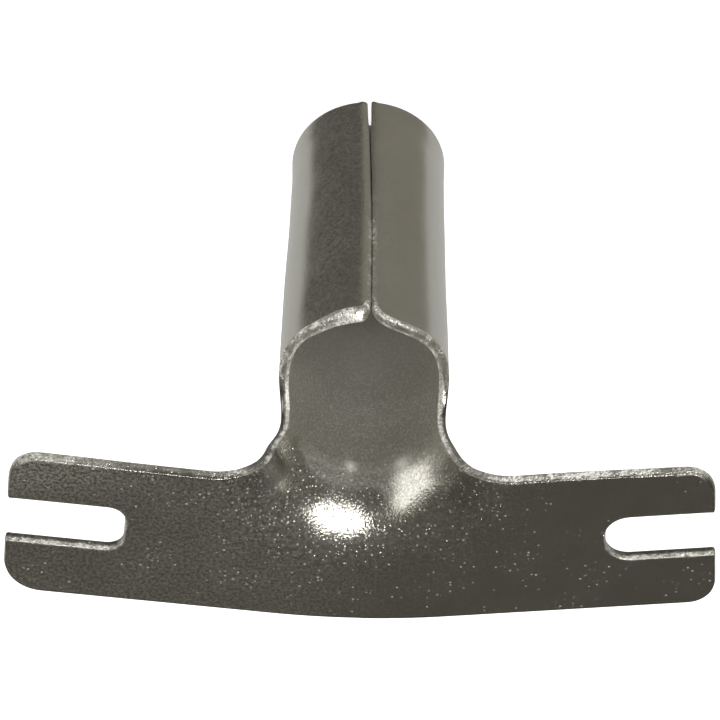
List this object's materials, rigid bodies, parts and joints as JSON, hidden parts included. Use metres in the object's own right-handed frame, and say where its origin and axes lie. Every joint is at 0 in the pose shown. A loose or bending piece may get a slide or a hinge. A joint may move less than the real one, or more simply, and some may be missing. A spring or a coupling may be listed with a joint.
{
  "type": "radiator bleed key",
  "caption": "Sheet-steel radiator bleed key: a rolled tube with an open seam and a square drive bush in its end, bent out into a flat two-winged handle with slotted ends.",
  "frame": {"origin": "centre of the socket tube's open end, in the plane of its rim", "axes": "+Z along the tube's axis towards the handle; the open seam faces -Y and the handle's neck stands behind the axis on +Y; the wings spread along X"},
  "size_m": [0.04, 0.0166, 0.028],
  "materials": {
    "plated_steel": "bright plated sheet steel with a fine grain",
    "bush_steel": "dull machined steel"
  },
  "bodies": {
    "root": {"socket_tube": "plated_steel", "handle_centre": "plated_steel", "left_wing": "plated_steel", "right_wing": "plated_steel", "drive_bush": "bush_steel"}
  },
  "joints": []
}
